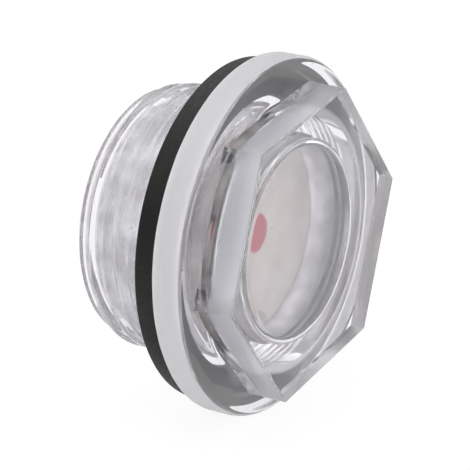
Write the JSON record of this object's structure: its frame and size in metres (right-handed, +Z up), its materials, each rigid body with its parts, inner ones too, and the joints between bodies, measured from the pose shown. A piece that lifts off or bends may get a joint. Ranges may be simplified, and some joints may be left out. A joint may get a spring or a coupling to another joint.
{
  "type": "oil level sight glass",
  "caption": "Clear screw-in sight glass with a hexagon head, a round flange, a black sealing ring and a pale reflector behind the window.",
  "frame": {"origin": "centre of the sealing face, where the rubber ring meets the wall that the plug is screwed into, on the thread's axis", "axes": "+Y along the thread, out of the window's back and into the wall; -Y out of the window; +Z up as installed, with the window upright"},
  "size_m": [0.036, 0.0195, 0.036],
  "materials": {
    "clear_plastic": "clear polished moulding",
    "black_rubber": "matt moulded rubber",
    "pale_reflector": "satin off-white with a red dot at the centre"
  },
  "bodies": {
    "root": {"sight_glass_body": "clear_plastic", "sealing_ring": "black_rubber", "reflector_disc": "pale_reflector"}
  },
  "joints": []
}
